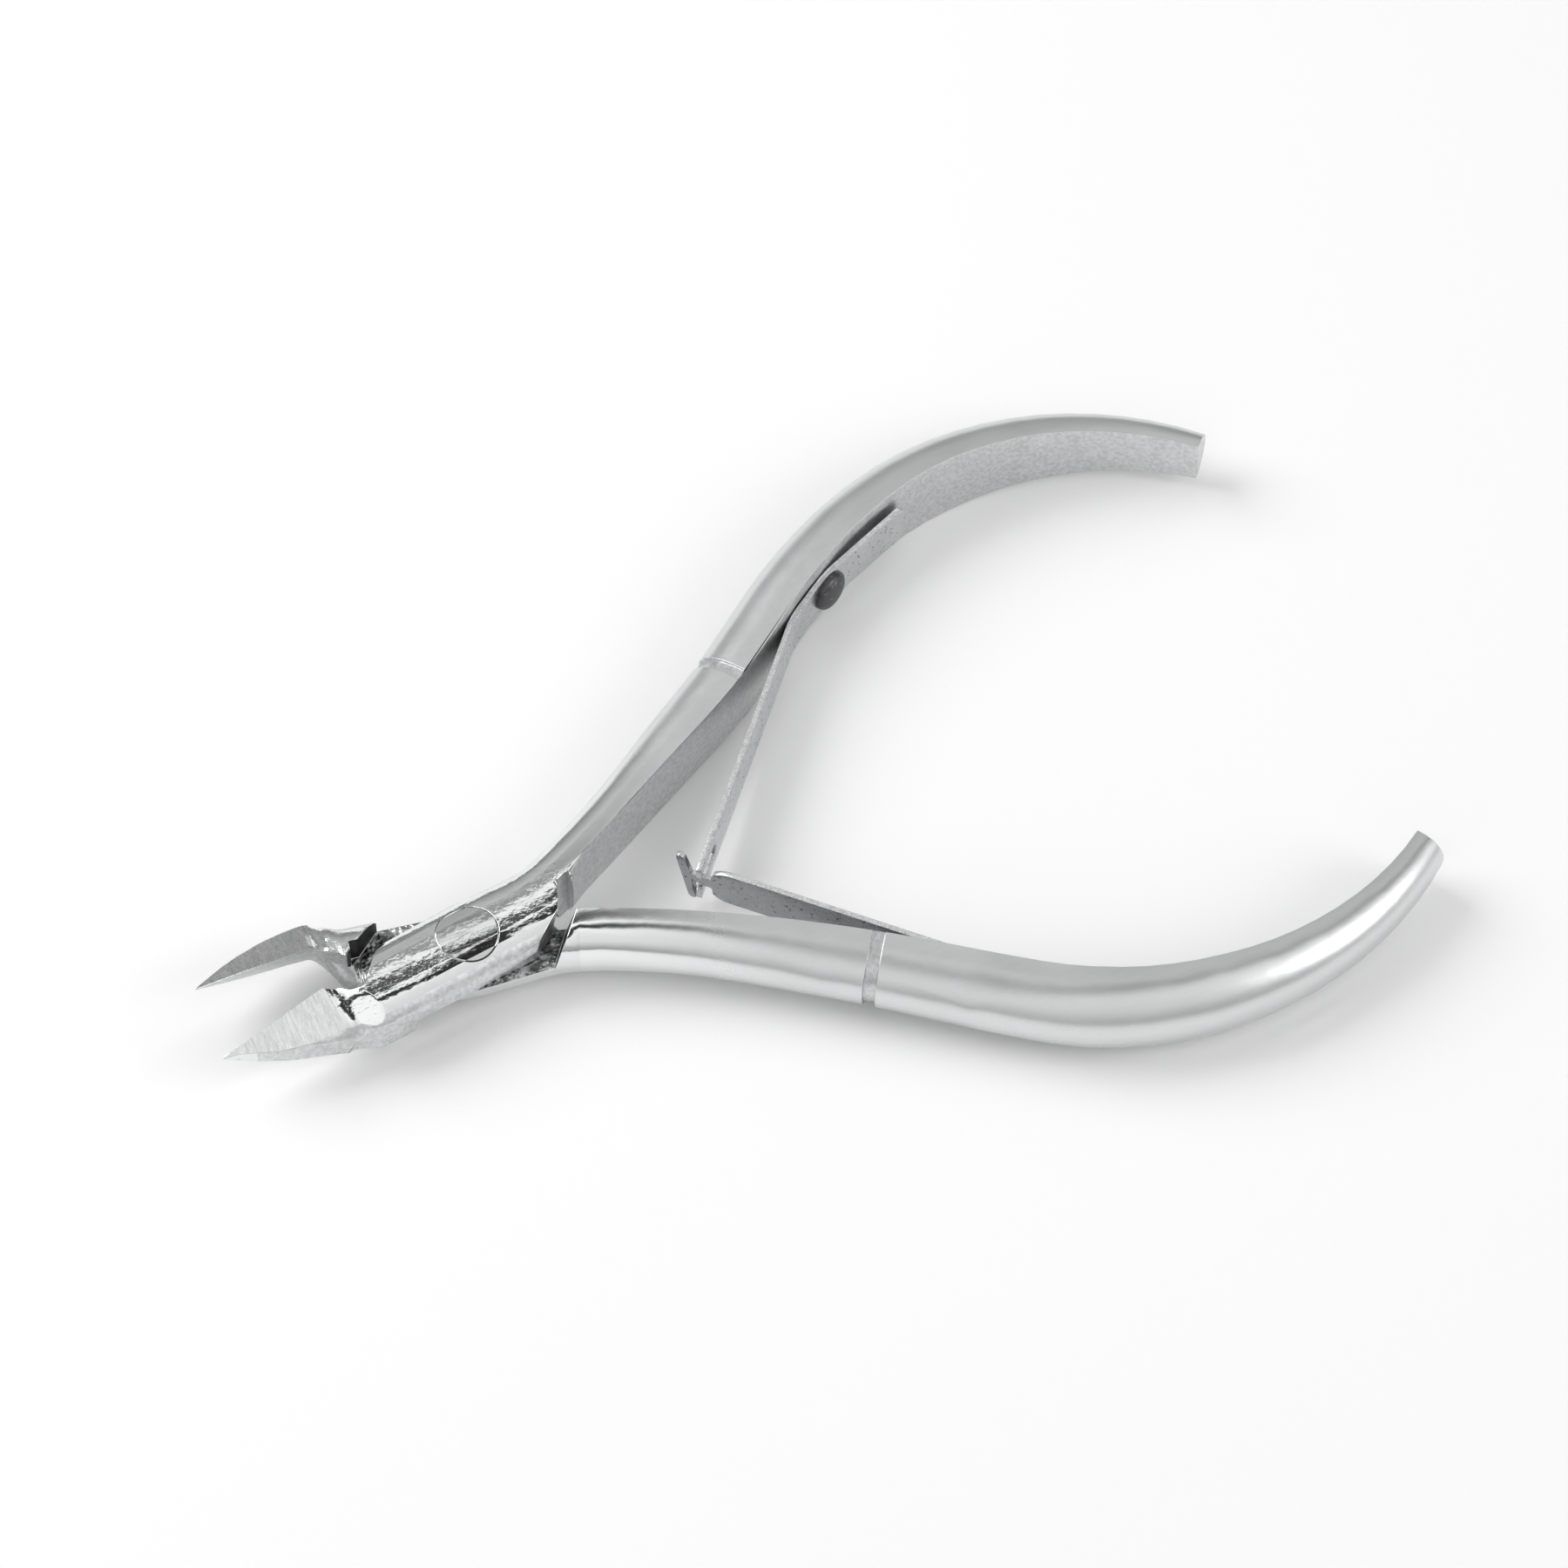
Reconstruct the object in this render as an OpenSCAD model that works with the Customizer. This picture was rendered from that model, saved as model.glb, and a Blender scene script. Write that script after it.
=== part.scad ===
// Cuticle nipper with a riveted lap joint and two interlocking leaf springs.
// The frame: origin on the pivot axis at the flat back face of the pivot rivet,
// +Z out of the front face, +X from the pivot to the handle ends, jaws at -X.
// Both halves are drawn closed and then swung open about the pivot.

/* [Joint] */
// How far each half stands open from the closed pose, in degrees
open_half_angle = 8.8; // [7:0.1:9]
// Width of the rounded lap bar on its outer side
bar_outer_w = 4.2; // [4:0.05:4.4]
// Width of the rounded lap bar on its inner side
bar_inner_w = 3.9; // [3.7:0.05:4.1]
// Height of the lap bar's crest above the lap plane
bar_h = 3.0; // [2.8:0.05:3.2]
// Play between the two lap faces
lap_gap = 0.04; // [0.02:0.01:0.1]
// Room between a bar's end and the other half's shoulder when closed
shoulder_gap = 0.5; // [0.4:0.05:0.8]

/* [Pivot rivet] */
// Diameter of the head ground flush with the front bar
head_d = 5.6; // [5:0.1:6]
// Depth of the front head
head_t = 1.5; // [1.2:0.1:1.8]
// Diameter of the shank
shank_d = 4.0; // [3.4:0.1:4.4]
// Radial play between the rivet and the rear half
pivot_play = 0.03; // [0.02:0.01:0.08]
// How far the back end stands out of the rear bar's crest
back_stand = 0.05; // [0.02:0.01:0.1]

/* [Jaws] */
// Distance of the blade tips from the pivot
tip_x = 23.85; // [22:0.05:25]
// Distance of the blades' heels from the pivot
heel_x = 13.6; // [13:0.05:14]
// Sideways place of the cutting edges at the tips
tip_y = 0.70; // [0.4:0.05:1]
// Sideways place of the cutting edges at the heels
heel_y = 1.70; // [1.4:0.05:1.9]
// Height of the cutting edges above the lap plane at the tips
tip_z = 1.8; // [1.5:0.1:2.2]
// Height of the cutting edges above the lap plane at the heels
heel_z = 3.0; // [2.7:0.1:3.2]
// Width of the ground top facet at the heel
facet_w = 3.6; // [3:0.1:4]
// Slope of the top facet
facet_slope = 27; // [22:1:32]
// Lean of the inner face under the cutting edge
inner_lean = 22; // [15:1:26]

/* [Handles] */
// Half width of a handle where it leaves the joint
shank_h = 3.3; // [3:0.1:3.6]
// Half width of a handle at its widest
grip_h = 4.0; // [3.6:0.1:4.2]
// Half width of a handle at its end
end_h = 2.3; // [2:0.1:2.6]
// Depth of the D section at the grip
grip_d = 5.3; // [4.6:0.1:5.8]
// Depth of the notch filed across each handle
notch_d = 0.45; // [0.3:0.05:0.6]
// Width of that notch
notch_w = 1.1; // [0.8:0.1:1.5]

/* [Springs] */
// Thickness of the leaf springs
leaf_t = 0.5; // [0.45:0.05:0.6]
// Width of the leaf springs
leaf_w = 4.3; // [4:0.1:4.6]
// Diameter of the spring rivets' heads
pin_head_d = 3.4; // [3.2:0.1:4.2]
// Height of the spring rivets' heads
pin_head_h = 1.1; // [0.9:0.1:1.4]
// Diameter of the spring rivets' shanks
pin_d = 1.8; // [1.4:0.1:2.2]

/* [Hidden] */
$fn = 48;

steel = [0.80, 0.81, 0.82];
spring_steel = [0.70, 0.71, 0.72];
dark_steel = [0.34, 0.34, 0.35];

mid_z = bar_h + back_stand;  // height of the lap plane in the frame
n_ring = 24;                 // points round a section of a half
blade_gap = 0.05;            // each cutting edge's distance from the parting line when closed

// Each handle's inner edge, from the pivot: [length, turn in degrees] of each bend
front_start = 0;
front_bends = [[5.2, 0], [5.5, 20.6], [21.3, 1.4], [11.7, 9], [15.8, -18], [30.6, -62.5]];
rear_start = -3;
rear_bends = [[5.5, 0], [4.5, 15.9], [10.4, 5.8], [22.7, 9.8], [7.5, -2], [38.6, -71.8]];

// A smooth rise from 0 to 1 as x goes from a to b
function rise(a, b, x) = let (u = max(0, min(1, (x - a) / (b - a)))) u * u * (3 - 2 * u);
function mix(a, b, u) = a + (b - a) * u;
function unit(h) = [cos(h), sin(h)];

// The stations of a run of bends: [x, y, heading, distance]
function steps_of(bends, step) = [for (b = bends) let (n = ceil(b[0] / step))
    for (k = [1:n]) [b[0] / n, b[1] / n]];
function walk(start, bends, step) = let (inc = steps_of(bends, step), n = len(inc)) [
    for (i = 0, x = 0, y = 0, h = start, s = 0; i <= n;
         x = i < n ? x + inc[i][0] * cos(h + inc[i][1] / 2) : x,
         y = i < n ? y + inc[i][0] * sin(h + inc[i][1] / 2) : y,
         s = i < n ? s + inc[i][0] : s,
         h = i < n ? h + inc[i][1] : h,
         i = i + 1) [x, y, h, s]];
// The station nearest to a distance along a walk
function at(path, s) = [for (i = [0:len(path) - 2])
    if (path[i][3] <= s && s < path[i + 1][3])
        mix(path[i], path[i + 1], (s - path[i][3]) / (path[i + 1][3] - path[i][3]))][0];

// Outline of a rounded section: outer and inner half widths, top and bottom heights
function signed_pow(v, e) = sign(v) * pow(abs(v), e);
function round_section(outer, inner, top, bottom, fullness) = [for (k = [0:n_ring - 1])
    let (t = 360 * k / n_ring, e = 2 / fullness, c = cos(t), s = sin(t))
    [signed_pow(c, e) * (c > 0 ? outer : inner), signed_pow(s, e) * (s > 0 ? top : bottom)]];

// Sizes of a handle's section at a distance s from the pivot
d_marks = [[0, 4.2], [3, 4.1], [8, 3.85], [12, 3.7], [20, 4.0], [30, 4.8], [40, grip_d - 0.1],
           [56, grip_d - 0.1], [66, 4.6], [78, 3.7], [92, 2.6]];
h_marks = [[0, bar_h], [7, bar_h], [12, shank_h], [32, shank_h + 0.1], [44, grip_h - 0.35],
           [56, grip_h], [66, grip_h], [76, 3.4], [92, end_h]];
function handle_section(s) = round_section(
    lookup(s, d_marks) * (s < 8 ? bar_outer_w / 4.2 : 1),
    mix(bar_inner_w, 0.04, rise(8.4, 11.5, s)),
    lookup(s, h_marks), lookup(s, h_marks), mix(2.6, 2.15, rise(6, 20, s)));

// The jaws' shared parting line, and the cutting edge's height, at a distance a from the pivot
function edge_y(a) = mix(heel_y, tip_y, (a - heel_x) / (tip_x - heel_x));
function edge_z(a) = mix(heel_z, tip_z, (a - heel_x) / (tip_x - heel_x));
// How full the blade is: 0 at its tip, 1 at its heel; side is 1 for the front half, -1 for the rear
function fill(a, side) =
    1 - pow(max(0, 1 - (tip_x - a) / (tip_x - heel_x)), side > 0 ? 1.5 : 2.3);
// Height of the blade's underside below the lap plane, by distance from the tip
under_marks = [[0, 0.35 - tip_z], [2.6, -0.1], [5.2, 0.9], [8.2, 1.6], [10.3, 2.4]];

// Section of a blade: across from the cutting edge (positive outwards) and up from the lap plane.
// Marks are [point number, value], and the points between two marks lie on a straight line.
function blade_section(a, side) = let (
    z = edge_z(a),
    f = fill(a, side),
    w = mix(0.12, facet_w, f),
    drop = w * tan(facet_slope),
    low = -lookup(tip_x - a, under_marks),
    deep = z - low,
    lean = min(0.75 * w, 0.9 * deep * tan(inner_lean)),
    out = w + 1.1 * pow(f, 3),
    across = [[0, lean * 0.5], [3, 0], [9, w], [12, out], [16, mix(lean, out, 0.85)],
              [18, mix(lean, out, 0.5)], [21, lean], [24, lean * 0.5]],
    up = [[0, z - deep * 0.5], [3, z], [9, z - drop], [12, z - drop - 0.5 * (deep - drop)],
          [16, low + 0.12 * deep], [18, low], [21, low + 0.08 * deep], [24, z - deep * 0.5]])
    [for (k = [0:n_ring - 1]) [lookup(k, across), lookup(k, up)]];

// Section between the blade's heel and the lap bar, [across outwards from y = 0, up], with
// how far its inner side reaches past y = 0 above the lap plane and below it
function root_section(over, under) = [for (k = [0:n_ring - 1])
    let (t = 360 * k / n_ring, e = 0.8, c = cos(t), s = sin(t))
    [-signed_pow(c, e) * (c < 0 ? bar_outer_w : s < 0.01 ? under : over),
     signed_pow(s, e) * bar_h]];
// A section of the blade measured from y = 0, as root_section is
function placed_blade(a, side) = [for (q = blade_section(a, side))
    [q[0] - side * edge_y(a) + blade_gap, side > 0 ? q[1] : -q[1]]];
function reversed(ring) = [for (k = [0:n_ring - 1]) ring[(n_ring - k) % n_ring]];
// Dip of the filed groove between a heel and its bar, as a share of the height
function groove(a) = 1 - 0.14 * rise(11.9, 12.5, a) * (1 - rise(12.9, 13.5, a));

// Stations of a jaw from the tip to the lap bar: [x, section]. side is as for fill().
function jaw_stations(side) = let (
    heel = placed_blade(heel_x, side),
    start = side > 0 ? heel : reversed(heel))
    concat(
        [for (a = [tip_x, 23.2, 22.4, 21.2, 19.8, 18.4, 17, 15.6, 14.4])
            [-a, side > 0 ? placed_blade(a, side) : reversed(placed_blade(a, side))]],
        [for (a = [heel_x, 13.2, 12.8, 12.4, 12, 11.5, 11, 10.5, 10, 9.7, 9.4, 9.1]) let (
            u = 1 - rise(10.2, heel_x, a),
            wide = rise(10.2, 9, a),
            over = mix(0.15 + 0.25 * side, bar_inner_w, wide),
            under = mix(-0.55 + 0.4 * side, bar_inner_w, rise(9.3, 8.9, a)),
            root = root_section(over, under))
            [-a, [for (k = [0:n_ring - 1]) let (q = mix(start[k], root[k], u))
                [q[0], q[1] * (side * q[1] > 0 ? groove(a) : 1)]]]],
        [[-8.8, root_section(bar_inner_w, bar_inner_w)]]);

// One closed skin over a list of rings with the same number of points
function centre(ring) = [for (i = [0:2]) [for (p = ring) p[i]] * [for (p = ring) 1] / len(ring)];
module skin(rings) {
    m = len(rings[0]);
    n = len(rings);
    points = concat([for (r = rings) for (p = r) p], [centre(rings[0]), centre(rings[n - 1])]);
    sides = [for (j = [0:n - 2]) for (i = [0:m - 1]) let (k = (i + 1) % m)
        each [[j * m + i, (j + 1) * m + k, (j + 1) * m + i],
              [j * m + i, j * m + k, (j + 1) * m + k]]];
    ends = [for (i = [0:m - 1]) let (k = (i + 1) % m)
        each [[n * m, k, i], [n * m + 1, (n - 1) * m + i, (n - 1) * m + k]]];
    polyhedron(points, concat(sides, ends));
}

// The whole forging of one half, closed, its handle on the +Y side, before milling.
// up is 1 where the blade's ground facet faces +Z and -1 where it faces -Z.
module forging(path, up) {
    jaw = [for (j = jaw_stations(up)) [for (q = j[1]) [j[0], -q[0], q[1]]]];
    handle = [for (p = path) [for (q = handle_section(p[3]))
        [p[0] - sin(p[2]) * q[0], p[1] + cos(p[2]) * q[0], q[1]]]];
    skin(concat(jaw, handle));
}

// Everything on one side of a slanted line in plan, through a point: side 1 is its left.
// lean tips the cut face so that it stands farther from the pivot as it rises.
module past_line(point, angle, side, lean) {
    translate([point[0], point[1], 0])
        rotate([0, 0, angle])
            rotate([-side * lean, 0, 0])
                translate([-12, side > 0 ? 0 : -12, -8])
                    cube([24, 12, 16]);
}

// The slanted ends of a lap bar, moved outwards by grow for the other half's shoulders
jaw_end = [-8.1, 2.3];
jaw_end_angle = 47;
handle_end = [7.55, -1.25];  // foot of the end on the handle side, at the lap plane
handle_end_angle = 62;
handle_end_lean = 15;
handle_corner = [6.2, -2.95];  // and its blunted corner
handle_corner_angle = 30;
module past_jaw_end(grow) {
    past_line(jaw_end + grow * [-sin(jaw_end_angle), cos(jaw_end_angle)], jaw_end_angle, 1, 0);
}
module past_handle_end(grow) {
    past_line(handle_end + grow * [sin(handle_end_angle), -cos(handle_end_angle)],
              handle_end_angle, -1, handle_end_lean);
}
module past_handle_corner(grow) {
    past_line(handle_corner + grow * [sin(handle_corner_angle), -cos(handle_corner_angle)],
              handle_corner_angle, -1, 0);
}

// Shallow groove filed round the outside of a handle, fading out towards its inner edge
module notch(place, depth) {
    notch_h = lookup(place[3], h_marks) - 0.2;
    translate([place[0], place[1], 0])
        rotate([0, 0, place[2]])
            difference() {
                translate([-notch_w / 2, 0, -5]) cube([notch_w, 8, 10]);
                rotate([90, 0, 90])
                    linear_extrude(height = 2 * notch_w, center = true)
                        polygon(round_section(depth - notch_d, 1, notch_h, notch_h, 2.15));
            }
}

// One half, closed, with its lap bar above the lap plane and its handle on the +Y side.
// play is the rivet's radial room in it, and sink is how deep the rivet's head sits.
module half(path, up, play, sink) {
    filed = at(path, notch_s);
    pin = at(path, pin_s);
    difference() {
        forging(path, up);
        // The recess that the other half's bar turns in
        difference() {
            translate([-14, -7, -8]) cube([26, 14, 8 + lap_gap / 2]);
            rotate([180, 0, 0]) {
                past_jaw_end(shoulder_gap);
                past_handle_end(shoulder_gap);
            }
        }
        // Room under the lap for the corner of the other half's bar
        translate([-10.15, -1.7, -8]) cube([3, 8, 8 + lap_gap / 2]);
        // The bar's own slanted ends
        intersection() {
            translate([-10.4, 0.3, -6]) cube([8, 6, 12]);
            past_jaw_end(0);
        }
        intersection() {
            translate([0, 0, -6])
                linear_extrude(height = 12)
                    polygon(concat([for (p = path) if (p[3] > 3 && p[3] < 12.6)
                        [p[0], p[1]] + 0.06 * unit(p[2] - 90)], [[12.4, -9], [3, -9]]));
            union() {
                past_handle_end(0);
                past_handle_corner(0);
            }
        }
        translate([0, 0, -1]) cylinder(d = shank_d + 2 * play, h = 6);
        translate([0, 0, bar_h - sink - play]) cylinder(d = head_d + 2 * play, h = 3);
        notch(filed, lookup(notch_s, d_marks));
        // Blind hole for the spring rivet
        translate([pin[0], pin[1], 0])
            rotate([-90, 0, pin[2]])
                translate([0, 0, -1]) cylinder(d = pin_d, h = 1 + pin_in);
    }
}

step = 2.4;      // spacing of the handles' sections
notch_s = 36.2;  // distances from the pivot along a handle's inner edge: the notch,
pin_s = 50.3;    // the spring rivet
root_s = 44.6;   // and the bend where a leaf leaves the handle
pin_in = 2.2;    // depth of the spring rivet's hole
back_t = 1.2;    // depth of the pivot rivet's back head
front_path = walk(front_start, front_bends, step);
rear_path = walk(rear_start, rear_bends, step);

// Closed places of each half's own frame, swung open and lifted into the part's frame
module front_place() { translate([0, 0, mid_z]) rotate([0, 0, open_half_angle]) children(); }
module rear_place() { translate([0, 0, mid_z]) rotate([180, 0, open_half_angle * -1]) children(); }

module front_half() {
    color(steel) front_place() half(front_path, 1, 0, head_t);
}

module rear_half() {
    color(steel) rear_place() half(rear_path, -1, pivot_play, back_t);
}

module pivot_rivet() {
    color(steel) translate([0, 0, mid_z]) {
        cylinder(d = shank_d, h = bar_h - head_t + 0.1);
        translate([0, 0, -bar_h]) cylinder(d = shank_d, h = bar_h + 0.1);
        translate([0, 0, -bar_h - back_stand]) cylinder(d = head_d, h = back_t + back_stand);
        // Front head, ground to the round of the front bar
        rotate([0, 0, open_half_angle])
            intersection() {
                translate([0, 0, bar_h - head_t]) cylinder(d = head_d, h = head_t + 1);
                rotate([90, 0, 90])
                    linear_extrude(height = 8, center = true)
                        polygon(round_section(bar_outer_w, bar_inner_w, bar_h, bar_h, 2.6));
            }
    }
}

// Springs, in a half's own closed frame with the handle on the +Y side
leaf_off = 0.08;                                   // a tab's distance from the handle's inner face
tab_turn = 15.5;                                   // heading of a tab beyond its rivet
tab_len = 10.2;                                    // length of that stretch to its round end
cross_open = [21.5, -0.95];                         // where the leaves cross when open
fork_len = 2.2;                                    // the slot's depth before the crossing
prong_len = 0.6;                                   // the prongs' reach past it
slot_w = 1.8;                                      // width of the fork's slot
neck_w = 1.2;                                      // width of the neck that passes through it
neck_len = 1.2;                                    // the neck's length before the crossing
head_at = 0.9;                                     // distance from the crossing to the T head
head_len = 0.8;                                    // the T head's length along the leaf
head_w = 6.0;                                      // and across it
head_tilt = -12;                                    // its lean in the leaf's plane

function spun(p, a) = [p[0] * cos(a) - p[1] * sin(a), p[0] * sin(a) + p[1] * cos(a)];
function inner_point(path, s, off) = let (p = at(path, s)) [p[0], p[1]] + off * unit(p[2] - 90);
// Hinge point of a leaf: the middle of its thickness at the bend
function root_of(path) = inner_point(path, root_s, leaf_off + leaf_t / 2);
front_cross = spun(cross_open, -open_half_angle);
rear_cross = spun([cross_open[0], -cross_open[1]], -open_half_angle);

// A straight piece of strip in plan from p to q
module strip(p, q) {
    v = q - p;
    translate([p[0], p[1], 0])
        rotate([0, 0, atan2(v[1], v[0])])
            translate([0, -leaf_t / 2, -leaf_w / 2]) cube([norm(v), leaf_t, leaf_w]);
}

// The riveted part of a leaf: from just past its bend to a round end
module leaf_tab(path) {
    middle = leaf_off + leaf_t / 2;
    root = root_of(path);
    b = inner_point(path, pin_s, middle);
    a = root + 0.6 * leaf_t * (b - root) / norm(b - root);
    c = b + tab_len * unit(tab_turn);
    side_a = leaf_t / 2 * [a[1] - b[1], b[0] - a[0]] / norm(b - a);
    side_c = leaf_t / 2 * unit(tab_turn + 90);
    side_b = (side_a + side_c) / (1 + side_a * side_c / pow(leaf_t / 2, 2));
    pin = at(path, pin_s);
    end_r = 0.54 * leaf_w;
    difference() {
        translate([0, 0, -leaf_w / 2])
            linear_extrude(height = leaf_w)
                polygon([a - side_a, b - side_b, c - side_c, c + side_c, b + side_b, a + side_a]);
        translate([c[0], c[1], 0])
            rotate([0, 0, tab_turn])
                difference() {
                    translate([-end_r, -1, -leaf_w]) cube([end_r + 1, 2, 2 * leaf_w]);
                    translate([-end_r, 2, 0]) rotate([90, 0, 0]) cylinder(r = end_r, h = 4);
                }
        translate([pin[0], pin[1], 0])
            rotate([90, 0, pin[2]]) translate([0, 0, -1]) cylinder(d = pin_d, h = 4);
    }
}

// The free part of a leaf from its bend to a length, before its end is shaped
module leaf_free(path, cross, past) {
    a = root_of(path);
    reach = norm(cross - a) + past;
    strip(a, a + reach * (cross - a) / norm(cross - a));
    translate([a[0], a[1], -leaf_w / 2]) cylinder(d = leaf_t, h = leaf_w);
}

// Places its children with +X along a leaf and the origin where the leaves cross
module at_cross(path, cross) {
    v = cross - root_of(path);
    translate([cross[0], cross[1], 0]) rotate([0, 0, atan2(v[1], v[0])]) children();
}

module forked_blade(path, cross) {
    difference() {
        leaf_free(path, cross, prong_len);
        at_cross(path, cross) {
            translate([-fork_len, -1, -slot_w / 2]) cube([fork_len + 3, 2, slot_w]);
            translate([-fork_len, 1, 0]) rotate([90, 0, 0]) cylinder(d = slot_w, h = 2);
        }
    }
}

module hooked_blade(path, cross) {
    leaf_free(path, cross, -neck_len - leaf_w / 2 + neck_w / 2);
    at_cross(path, cross) {
        // Rounded shoulders down to the neck
        intersection() {
            translate([-neck_len - leaf_w / 2 + neck_w / 2, leaf_t / 2, 0])
                rotate([90, 0, 0]) cylinder(d = leaf_w, h = leaf_t);
            translate([-8, -1, -leaf_w / 2]) cube([8 - neck_len + 0.2, 2, leaf_w]);
        }
        translate([-neck_len - 1, -leaf_t / 2, -neck_w / 2])
            cube([neck_len + 1 + head_at + head_len / 2, leaf_t, neck_w]);
        translate([head_at + head_len / 2, 0, 0])
            rotate([0, head_tilt, 0]) {
                translate([-head_len / 2, -leaf_t / 2, (head_len - head_w) / 2])
                    cube([head_len, leaf_t, head_w - head_len]);
                for (end = [-1, 1])
                    translate([0, leaf_t / 2, end * (head_w - head_len) / 2])
                        rotate([90, 0, 0]) cylinder(d = head_len, h = leaf_t);
            }
    }
}

module spring_rivet(path) {
    pin = at(path, pin_s);
    face = leaf_off + leaf_t;
    translate([pin[0], pin[1], 0])
        rotate([90, 0, pin[2]]) {
            translate([0, 0, -pin_in]) cylinder(d = pin_d, h = pin_in + face + 0.1);
            translate([0, 0, face]) cylinder(d = pin_head_d, h = pin_head_h * 0.7);
            translate([0, 0, face + pin_head_h * 0.7])
                cylinder(d1 = pin_head_d, d2 = pin_head_d * 0.7, h = pin_head_h * 0.3);
        }
}

module front_leaf_tab() { color(spring_steel) front_place() leaf_tab(front_path); }
module front_leaf_blade() { color(spring_steel) front_place() forked_blade(front_path, front_cross); }
module rear_leaf_tab() { color(spring_steel) rear_place() leaf_tab(rear_path); }
module rear_leaf_blade() { color(spring_steel) rear_place() hooked_blade(rear_path, rear_cross); }
module front_spring_rivet() { color(dark_steel) front_place() spring_rivet(front_path); }
module rear_spring_rivet() { color(dark_steel) rear_place() spring_rivet(rear_path); }

front_half();
rear_half();
pivot_rivet();
front_leaf_tab();
front_leaf_blade();
rear_leaf_tab();
rear_leaf_blade();
front_spring_rivet();
rear_spring_rivet();
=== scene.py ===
from math import cos, pi, radians, sin

import bpy
from bpy.props import FloatProperty, FloatVectorProperty, PointerProperty
from mathutils import Matrix, Vector


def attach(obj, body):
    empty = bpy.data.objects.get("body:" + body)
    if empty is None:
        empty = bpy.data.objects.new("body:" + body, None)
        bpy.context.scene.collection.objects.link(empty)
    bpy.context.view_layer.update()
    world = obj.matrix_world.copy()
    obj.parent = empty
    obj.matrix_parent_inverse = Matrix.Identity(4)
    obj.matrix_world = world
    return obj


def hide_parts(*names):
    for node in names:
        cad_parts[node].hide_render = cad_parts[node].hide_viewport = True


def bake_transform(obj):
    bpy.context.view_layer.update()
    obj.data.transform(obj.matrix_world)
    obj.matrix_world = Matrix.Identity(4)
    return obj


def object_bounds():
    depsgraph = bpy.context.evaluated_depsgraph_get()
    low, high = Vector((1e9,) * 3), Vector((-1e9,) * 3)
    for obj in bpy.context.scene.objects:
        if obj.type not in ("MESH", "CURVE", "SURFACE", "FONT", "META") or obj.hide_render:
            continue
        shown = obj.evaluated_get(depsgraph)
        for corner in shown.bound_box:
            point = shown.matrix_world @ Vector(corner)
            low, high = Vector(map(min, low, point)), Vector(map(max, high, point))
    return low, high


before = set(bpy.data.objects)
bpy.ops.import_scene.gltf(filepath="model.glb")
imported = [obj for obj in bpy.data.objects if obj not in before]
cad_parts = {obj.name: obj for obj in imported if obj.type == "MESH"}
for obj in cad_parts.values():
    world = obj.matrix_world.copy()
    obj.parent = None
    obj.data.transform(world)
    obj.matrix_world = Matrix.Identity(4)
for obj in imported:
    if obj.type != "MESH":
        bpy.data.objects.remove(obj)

bl_info = {
    "name": "Cuticle nipper",
    "version": (1, 0, 0),
    "blender": (4, 5, 0),
    "location": "View3D > Sidebar > Nipper",
    "description": "Builds a cuticle nipper with a lap joint and two leaf springs",
    "category": "Add Mesh",
}

MM = 0.001
UP = Vector((0, 0, 1))
CAD_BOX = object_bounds()
LAP_Z = 3.05                     # height of the lap plane, in mm
OPEN = radians(8.8)              # how far each half stands open from the closed pose

# From here on, plans are in mm. A half's own frame is closed, with the lap plane at Z = 0,
# and the rear half's frame is turned over, so both halves have their handle on +Y.
FRONT, REAR = 1, -1
HALF = {FRONT: "front", REAR: "rear"}

# Plan of each half's ground outer wall, from the tip to the end of the bar
WALL = {
    FRONT: [(-24.6, 0.75), (-23.85, 0.5), (-22.5, 0.22), (-21.1, -0.36), (-18.5, -1.42),
            (-16.2, -1.97), (-14.2, -2.42), (-12.3, -3.12), (-10.8, -3.72), (-9.0, -3.93),
            (7.6, -3.93)],
    REAR: [(-24.6, -0.5), (-23.85, -0.92), (-22.5, -1.92), (-20.9, -3.07), (-17.9, -4.66),
           (-15.05, -5.3), (-13.3, -5.36), (-12.5, -4.62), (-9.65, -4.1), (-7.4, -3.95),
           (7.6, -3.93)],
}
WASTE_Y = -9.0                   # how far out the ground-off waste reaches
WASTE_Z = 6                      # and how far above and below the lap plane
JOINT_END = 9.5                  # X where the joint ends and the handles begin

# Place in plan and heading of the notch filed across each handle, and half its width
NOTCH = {FRONT: (34.28, 10.40, radians(25.2)), REAR: (34.60, 8.87, radians(25.5))}
NOTCH_REACH = 0.62

# Polished slope at the jaw end of the front bar: its facing, a point on it, and its stop
SCOOP_FACING = Vector((-0.389, -0.363, 0.846)).normalized()
SCOOP_POINT = Vector((-11.64, 0.19, 2.95))
SCOOP_SIZE = (9, 9, 4)
SCOOP_STOP = ((-15.75, 0, 0), (6, 20, 20))

PIVOT_HEAD = 2.72                # radius of the pivot rivet's head inside its ring
PIVOT_EDGE = 0.13                # width of the ring's broken edge

# Each spring rivet in its half's closed plan, and the handle's heading there
PIN = {FRONT: (Vector((46.756, 16.947)), radians(23.48)),
       REAR: (Vector((47.129, 15.335)), radians(26.58))}
LEAF_BEND = {FRONT: Vector((39.189, 20.326)),     # where each leaf bends, at rest
             REAR: Vector((39.823, -18.739))}
CROSS = Vector((21.5, -0.95))    # where the leaves cross, at rest
LEAF_SEAT = 0.33                 # from the handle's pin to the leaf's middle line
TAB_LENGTH = 10.2                # from the pin to the leaf's riveted end
TAB_HEADING = radians(15.5)
TAB_CORNER = 0.9                 # radius of the corners of the riveted end
BEND_RADIUS = 1.3
BEND_STEPS = 5
LEAF_EDGE = 0.05                 # width of the strip's broken edges

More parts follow.
